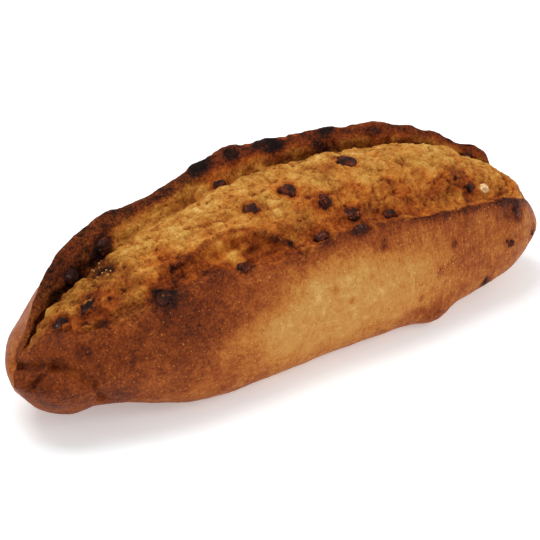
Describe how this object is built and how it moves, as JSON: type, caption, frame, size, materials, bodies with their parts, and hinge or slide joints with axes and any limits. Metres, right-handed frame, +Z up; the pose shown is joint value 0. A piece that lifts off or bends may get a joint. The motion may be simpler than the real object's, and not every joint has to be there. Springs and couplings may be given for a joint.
{
  "type": "fig bread loaf",
  "caption": "Whole uncut hearth-baked loaf, scored along the top with a raised ear and torn crumb, with diced fig and nut pieces showing, flat underneath to rest on a board.",
  "frame": {"origin": "middle of the loaf's length and width, at the plane it rests on", "axes": "+X along the loaf towards the slimmer upturned tip where the ear ends short, +Y towards the back of the ear, +Z up"},
  "size_m": [0.26, 0.0936, 0.0755],
  "materials": {
    "crust": "baked bread crust, matte, golden to dark brown",
    "fig": "baked diced fig, dark brown, slightly glossy",
    "nut": "baked nut, cream, matte"
  },
  "bodies": {
    "root": {"loaf": "crust", "fig_01": "fig", "fig_02": "fig", "fig_03": "fig", "fig_04": "fig", "fig_05": "fig", "fig_06": "fig", "fig_07": "fig", "fig_08": "fig", "fig_09": "fig", "fig_10": "fig", "fig_11": "fig", "fig_12": "fig", "fig_13": "fig", "fig_14": "fig", "fig_15": "fig", "fig_16": "fig", "fig_17": "fig", "fig_18": "fig", "fig_19": "fig", "fig_20": "fig", "fig_21": "fig", "fig_22": "fig", "fig_23": "fig", "nut_01": "nut"}
  },
  "joints": []
}
